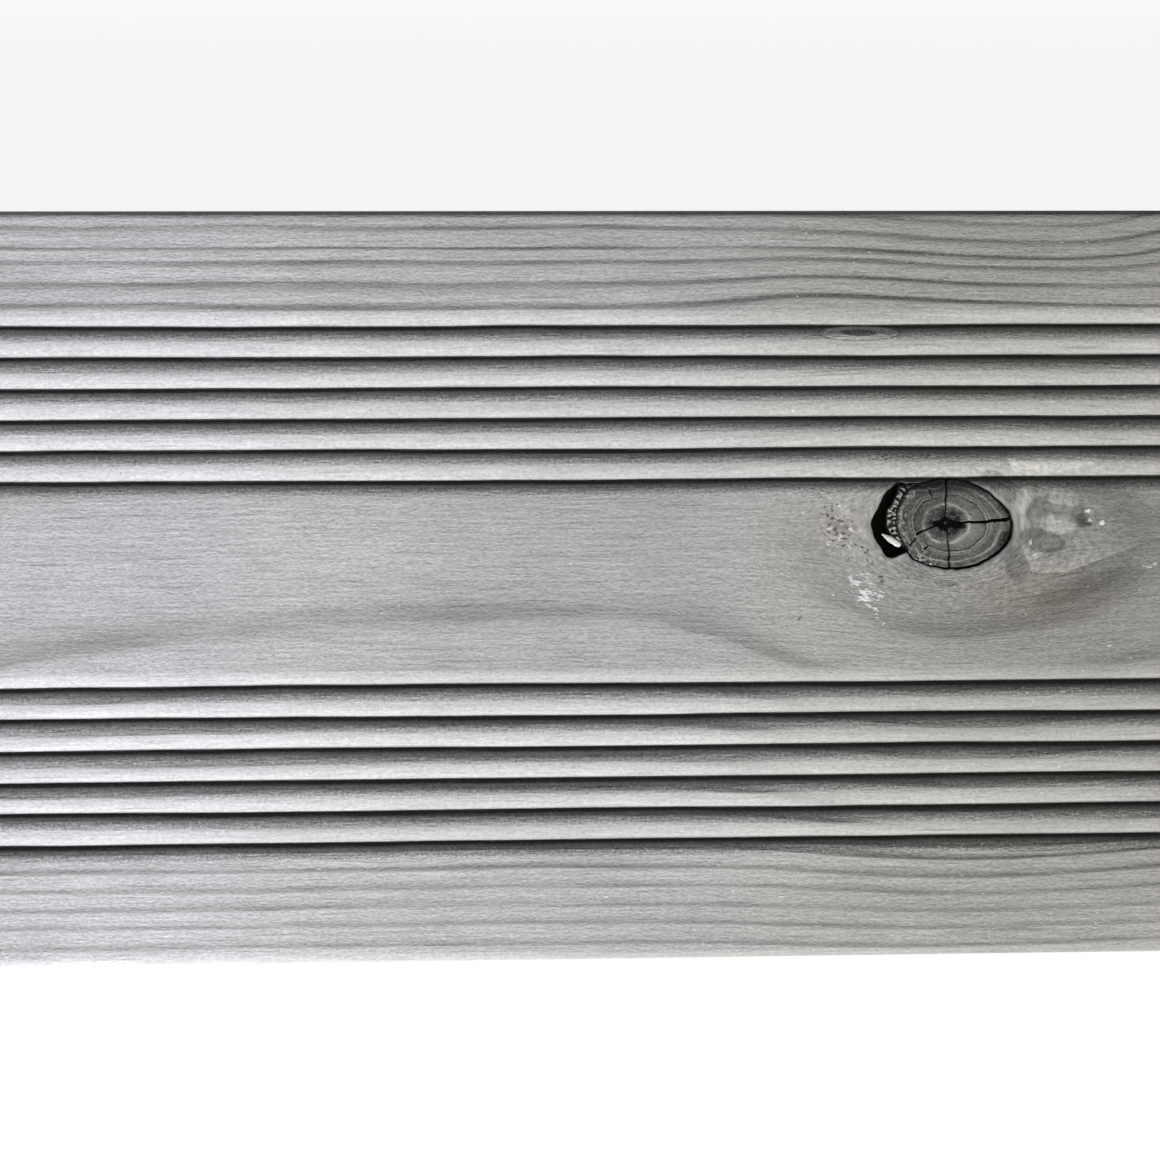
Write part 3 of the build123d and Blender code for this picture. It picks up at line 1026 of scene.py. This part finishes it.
def noise(tree, vector, scale, detail, roughness=0.5):
    """Noise about 0.5, with as many lumps to each unit of the vector's three parts as the scale says."""
    place = add_node(tree, "ShaderNodeVectorMath", {0: vector, 1: scale}, operation="MULTIPLY").outputs[0]
    inputs = {"Vector": place, "Scale": 1.0, "Detail": detail, "Roughness": roughness}
    return add_node(tree, "ShaderNodeTexNoise", inputs).outputs["Fac"]


def ramp(tree, factor, stops):
    """Grey level that follows the stops, each a place and a level."""
    node = add_node(tree, "ShaderNodeValToRGB", {"Fac": factor})
    elements = node.color_ramp.elements
    while len(elements) < len(stops):
        elements.new(1.0)
    for element, (place, level) in zip(elements, stops):
        element.position = place
        element.color = (level, level, level, 1.0)
    return node.outputs["Color"]


def blend(tree, factor, first, second, kind="MIX"):
    """Mixes two colours, or multiplies the first by the second, by a factor."""
    node = add_node(tree, "ShaderNodeMix", data_type="RGBA", blend_type=kind, clamp_factor=True)
    for socket, value in ((0, factor), (6, first), (7, second)):
        if isinstance(value, bpy.types.NodeSocket):
            tree.links.new(value, node.inputs[socket])
        elif socket == 0:
            node.inputs[socket].default_value = value
        else:
            node.inputs[socket].default_value = (*value, 1.0)
    return node.outputs[2]


def tinted(tree, wood, tint):
    """A colour multiplied by another."""
    return blend(tree, 1.0, wood, tint, "MULTIPLY")


def lit(tree, wood, light):
    """A colour made lighter or darker by a number."""
    shade = add_node(tree, "ShaderNodeCombineColor", {0: light, 1: light, 2: light}).outputs[0]
    return tinted(tree, wood, shade)


def new_finish(name):
    """A material with only a Principled shader and its output, and its node tree."""
    material = bpy.data.materials.new(name)
    material.use_nodes = True
    tree = material.node_tree
    tree.nodes.clear()
    shader = add_node(tree, "ShaderNodeBsdfPrincipled", {"Specular IOR Level": 0.25, "Roughness": 0.85})
    output = add_node(tree, "ShaderNodeOutputMaterial", {"Surface": shader.outputs[0]})
    return material, tree, shader, output


def set_bump(tree, shader, height, distance):
    """Bends the shading by a height from 0 to 1 that stands for a distance in metres."""
    inputs = {"Height": height, "Distance": distance, "Strength": 1.0}
    tree.links.new(add_node(tree, "ShaderNodeBump", inputs).outputs[0], shader.inputs["Normal"])


def weathered_pine(colours):
    """Grey pine: rings that darken outwards and end sharply, fine fibres, pits, stains, painted shade and
    glints.
    """
    material, tree, shader, _ = new_finish("weathered_pine")
    grain = field(tree, "grain", "Vector")

    def lumps(along, across, detail, roughness=0.5):
        """Noise with so many lumps to the metre along the grain and across it."""
        return noise(tree, grain, (along, across, across), detail, roughness)

    fibres = lumps(90, 1350, 2.0, 0.6)
    threads = lumps(1000, 2300, 1.0)
    grains = lumps(1900, 2300, 1.0)
    clouds = lumps(950, 1100, 2.0, 0.6)
    blotches = lumps(14, 60, 3.0)
    checks = ramp(tree, lumps(55, 2100, 1.0), ((0.66, 0.0), (0.76, 1.0)))
    mottle = field(tree, "mottle")
    painted_glint_flank = field(tree, "painted_glint_flank")

    # Rings: each year has a breadth and a strength of its own, which change along the board
    ring = scaled(tree, lumps(25, 260, 3.0), 0.22, field(tree, "ring"))
    along = add_node(tree, "ShaderNodeSeparateXYZ", {0: grain}).outputs[0]
    parts = {0: times(tree, along, 13.0), 1: times(tree, maths(tree, "FLOOR", ring), 7.3)}
    year = add_node(tree, "ShaderNodeCombineXYZ", parts).outputs[0]
    breadth = noise(tree, year, (1.0, 1.0, 1.0), 1.0)
    strength = noise(tree, year, (2.0, 1.0, 1.0), 2.0)
    late = ramp(tree, maths(tree, "FRACT", ring), LATE_STOPS)
    late = maths(tree, "POWER", late, scaled(tree, breadth, 3.0, -0.35))
    late = times(tree, late, scaled(tree, strength, 1.5, 0.17))
    late = times(tree, late, scaled(tree, grains, 0.8, 0.6))
    late = times(tree, late, field(tree, "lines"), clamp=True)

    # The eye: a cut through one bulging ring, so its lines are ovals
    eye = scaled(tree, clouds, 0.14, field(tree, "eye"))
    eye = ramp(tree, times(tree, eye, 0.5), EYE_STOPS)

    # How light the wood is
    streaks = scaled(tree, fibres, 0.46, scaled(tree, threads, 0.54, -0.5))
    streaks = times(tree, streaks, scaled(tree, mottle, -0.8, 1.0))
    cloudy = times(tree, maths(tree, "SUBTRACT", clouds, 0.5), mottle)
    # Torn wood's edge carries painted shade and highlight, as well as its bump
    torn = ramp(tree, scaled(tree, field(tree, "tear"), 0.1, 0.1), TORN_STOPS)
    torn = times(tree, maths(tree, "SUBTRACT", torn, 0.5), field(tree, "torn"))
    # Painted light: grains lighter and darker on the flanks that face away from the lamp
    rough = times(tree, maths(tree, "SUBTRACT", grains, 0.5), painted_glint_flank)
    light = maths(tree, "ADD", streaks, scaled(tree, grains, 0.48, 0.76))
    for value, factor, offset in ((blotches, 0.35, 0.82), (cloudy, 1.9, 1.0), (torn, 1.05, 1.0),
                                  (rough, 1.2, 1.0), (checks, -0.28, 1.0), (eye, -1.4, 1.7)):
        light = times(tree, light, scaled(tree, value, factor, offset))
    light = times(tree, light, field(tree, "tone"))
    wood = lit(tree, blend(tree, late, colours.early, colours.late), light)
    wood = blend(tree, field(tree, "warmth"), tinted(tree, wood, COOL_TINT), tinted(tree, wood, WARM_TINT))
    rusty = times(tree, field(tree, "rust"), scaled(tree, clouds, 2.4, -0.5), clamp=True)
    wood = blend(tree, rusty, wood, tinted(tree, wood, RUST_TINT))

    # Painted glints on the flanks that face away from the lamp, pits, resin flecks, and painted shade and
    # stains
    # Pale specks here are painted glints on the flanks that face away from the lamp
    crumbs = ramp(tree, lumps(1700, 1900, 1.0), ((0.64, 0.0), (0.74, 0.6)))
    specks = scaled(tree, field(tree, "pits"), 0.27, maths(tree, "SUBTRACT", lumps(1300, 1900, 1.0), 0.27))
    pits = ramp(tree, specks, ((0.49, 0.0), (0.62, 0.8)))
    flecks = scaled(tree, field(tree, "resin"), 0.3, maths(tree, "SUBTRACT", lumps(800, 1050, 2.0), 0.3))
    flecks = ramp(tree, flecks, ((0.40, 0.0), (0.50, 0.55), (0.62, 0.95)))
    patchy = scaled(tree, fibres, 0.8, scaled(tree, grains, 0.9, 0.15))
    # Painted shade in the grooves and the pocket, and the stains, made patchy
    painted_shade_and_stain = times(tree, field(tree, "painted_shade_and_stain"), patchy, clamp=True)
    for share, over in ((times(tree, crumbs, painted_glint_flank), colours.resin), (pits, colours.pit),
                        (flecks, colours.resin), (painted_shade_and_stain, colours.painted_shade_and_stain)):
        wood = blend(tree, share, wood, over)
    tree.links.new(wood, shader.inputs["Base Color"])

    height = times(tree, fibres, 0.4)
    for value, factor in ((late, 0.45), (threads, 0.3), (grains, 0.2), (torn, 0.5), (pits, -0.5),
                          (flecks, 0.4), (cloudy, 0.5)):
        height = scaled(tree, value, factor, height)
    set_bump(tree, shader, height, 0.25 * MM)
    return material


def dead_knot(colours):
    """Grey end grain: ring tones from the mesh, fine speckle, painted shade in the cracks and hollows, and
    pale bark.
    """
    material, tree, shader, _ = new_finish("dead_knot")
    place = add_node(tree, "ShaderNodeTexCoord").outputs["Object"]
    speckle = noise(tree, place, (2600, 2600, 2600), 2.0, 0.6)
    clouds = noise(tree, place, (420, 420, 420), 2.0)
    light = times(tree, scaled(tree, speckle, 1.0, 0.5), scaled(tree, clouds, 0.5, 0.75))
    wood = lit(tree, colours.knot, times(tree, light, field(tree, "tone")))
    bright = maths(tree, "SUBTRACT", field(tree, "pale"), 0.7)
    wood = blend(tree, scaled(tree, speckle, 1.4, bright, clamp=True), wood, colours.bark)
    # Painted shade: near black in the cracks, the hollow and the other recesses of the knot
    wood = blend(tree, field(tree, "dark"), wood, colours.crack)
    tree.links.new(wood, shader.inputs["Base Color"])
    set_bump(tree, shader, speckle, 0.10 * MM)
    return material


def pale_sliver(colours):
    """Bare pale wood with fine streaks along it."""
    material, tree, shader, _ = new_finish("pale_sliver")
    streaks = noise(tree, field(tree, "grain", "Vector"), (2.0, 7.0, 7.0), 2.0)
    wood = lit(tree, colours.sliver, scaled(tree, streaks, 1.3, 0.35))
    tree.links.new(wood, shader.inputs["Base Color"])
    set_bump(tree, shader, streaks, 0.08 * MM)
    return material


def seen_rays(tree):
    """1 for rays that show a thing to the camera, straight, mirrored or through glass; 0 for the rest."""
    rays = add_node(tree, "ShaderNodeLightPath").outputs
    seen = maths(tree, "MAXIMUM", rays["Is Camera Ray"], rays["Is Glossy Ray"])
    return maths(tree, "MAXIMUM", seen, rays["Is Transmission Ray"])


def pale_floor(stage):
    """Floor that is mostly plain white from above, still takes a soft shadow, and isn't there from below."""
    material, tree, shader, output = new_finish("pale_floor")
    shader.inputs["Base Color"].default_value = (*stage.floor, 1.0)
    glow = add_node(tree, "ShaderNodeEmission").outputs[0]
    white = times(tree, seen_rays(tree), FLOOR_WHITENESS)
    above = add_node(tree, "ShaderNodeMixShader", {0: white, 1: shader.outputs[0], 2: glow}).outputs[0]
    clear = add_node(tree, "ShaderNodeBsdfTransparent").outputs[0]
    below = add_node(tree, "ShaderNodeNewGeometry").outputs["Backfacing"]
    sided = add_node(tree, "ShaderNodeMixShader", {0: below, 1: above, 2: clear}).outputs[0]
    tree.links.new(sided, output.inputs["Surface"])
    return material


# The stage

# How far up a direction points, from -1 to 1, where the light from below begins
HORIZON = -0.02


def add_object(name, data):
    """Puts mesh, lamp or camera data into the scene as an object."""
    item = bpy.data.objects.new(name, data)
    bpy.context.scene.collection.objects.link(item)
    return item


def add_floor(stage):
    """A square floor that is open under the board, so that light from below still shows the underside."""
    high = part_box(NODE)[1]
    square = np.array([(-1, -1, 0), (1, -1, 0), (1, 1, 0), (-1, 1, 0)])
    opening = square * (high.x - stage.floor_lap, high.y - stage.floor_lap, 0)
    sides = [(n, (n + 1) % 4, 4 + (n + 1) % 4, 4 + n) for n in range(4)]
    mesh = bpy.data.meshes.new("floor")
    mesh.from_pydata(np.concatenate([square * stage.floor_size / 2, opening]), [], sides)
    mesh.materials.append(pale_floor(stage))
    floor = add_object("floor", mesh)


def add_world(stage):
    """Even light from all round, more of it from below the horizon, and plain white where it is seen."""
    world = bpy.data.worlds.new("studio")
    world.use_nodes = True
    bpy.context.scene.world = world
    tree = world.node_tree
    back = tree.nodes["Background"]
    back.inputs["Color"].default_value = (1.0, 1.0, 1.0, 1.0)
    heading = add_node(tree, "ShaderNodeTexCoord").outputs["Generated"]
    upward = add_node(tree, "ShaderNodeSeparateXYZ", {0: heading}).outputs[2]
    beneath = maths(tree, "LESS_THAN", upward, HORIZON)
    even = scaled(tree, beneath, stage.under_fill - stage.fill, stage.fill)
    tree.links.new(maths(tree, "MAXIMUM", seen_rays(tree), even), back.inputs["Strength"])


def add_lamp(stage):
    """A long strip lamp beside the board, tipped down to the board's middle line."""
    lamp = bpy.data.lights.new("raking_strip", "AREA")
    lamp.shape = "RECTANGLE"
    lamp.size = stage.key_length
    lamp.size_y = stage.key_width
    lamp.energy = stage.key_power
    key = add_object("raking_strip", lamp)
    key.location = stage.key_place
    key.rotation_mode = "QUATERNION"
    key.rotation_quaternion = Vector((0.0, -key.location.y, -key.location.z)).to_track_quat("-Z", "Y")


def add_camera(stage):
    """A camera that looks almost straight down on the stretch about the knot."""
    camera = add_object("camera", bpy.data.cameras.new("camera"))
    camera.data.lens = stage.lens
    camera.location = stage.camera_place
    camera.rotation_euler = stage.camera_turn
    bpy.context.scene.camera = camera


# Operators

class BuildBoard(bpy.types.Operator):
    """Build the moulded board with its worn face and the pocket about the knot"""

    bl_idname = "floorboard.build_board"
    bl_label = "Build board"

    def execute(self, context):
        scene = context.scene
        points, faces, spots, pocket_shade = board_arrays(scene.board_sizes, scene.knot_sizes)
        fields = board_fields(scene.board_sizes, scene.growth_sizes, scene.knot_sizes, points, pocket_shade)
        finish = weathered_pine(scene.wood_colours)
        board = make_piece("weathered_board", points, faces, fields, finish, spots)
        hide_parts(NODE)
        return {"FINISHED"}


class BuildKnot(bpy.types.Operator):
    """Build the dead knot that stands in the board's pocket"""

    bl_idname = "floorboard.build_knot"
    bl_label = "Build knot"

    def execute(self, context):
        scene = context.scene
        arrays = knot_arrays(scene.board_sizes, scene.knot_sizes)
        make_piece("dead_knot", *arrays, dead_knot(scene.wood_colours))
        return {"FINISHED"}


class BuildSliver(bpy.types.Operator):
    """Build the pale sliver that lies across the gap beside the knot"""

    bl_idname = "floorboard.build_sliver"
    bl_label = "Build sliver"

    def execute(self, context):
        scene = context.scene
        make_piece("pale_sliver", *sliver_arrays(scene.knot_sizes), pale_sliver(scene.wood_colours))
        return {"FINISHED"}


class BuildStage(bpy.types.Operator):
    """Build the floor, the light and the camera"""

    bl_idname = "floorboard.build_stage"
    bl_label = "Build stage"

    def execute(self, context):
        context.scene.view_settings.view_transform = "Standard"
        for add in (add_floor, add_world, add_lamp, add_camera):
            add(context.scene.stage_settings)
        return {"FINISHED"}


class FloorboardPanel(bpy.types.Panel):
    """Buttons and settings of the floorboard"""

    bl_idname = "VIEW3D_PT_floorboard"
    bl_label = "Floorboard"
    bl_space_type = "VIEW_3D"
    bl_region_type = "UI"
    bl_category = "Floorboard"

    def draw(self, context):
        for operator in OPERATORS:
            self.layout.operator(operator.bl_idname)
        for name, group in GROUPS.items():
            box = self.layout.box()
            for setting in group.__annotations__:
                box.prop(getattr(context.scene, name), setting)


GROUPS = {
    "board_sizes": BoardSizes,
    "growth_sizes": GrowthSizes,
    "knot_sizes": KnotSizes,
    "wood_colours": WoodColours,
    "stage_settings": StageSettings,
}
OPERATORS = (BuildBoard, BuildKnot, BuildSliver, BuildStage)
CLASSES = (*GROUPS.values(), *OPERATORS, FloorboardPanel)


def register():
    """Makes the settings, operators and panel known to Blender."""
    for item in CLASSES:
        bpy.utils.register_class(item)
    for name, group in GROUPS.items():
        setattr(bpy.types.Scene, name, PointerProperty(type=group))


def unregister():
    """Takes them away again."""
    for name in GROUPS:
        delattr(bpy.types.Scene, name)
    for item in reversed(CLASSES):
        bpy.utils.unregister_class(item)


def main():
    """Builds every piece and the stage."""
    register()
    bpy.ops.floorboard.build_board()
    bpy.ops.floorboard.build_knot()
    bpy.ops.floorboard.build_sliver()
    bpy.ops.floorboard.build_stage()


if __name__ == "__main__":
    main()
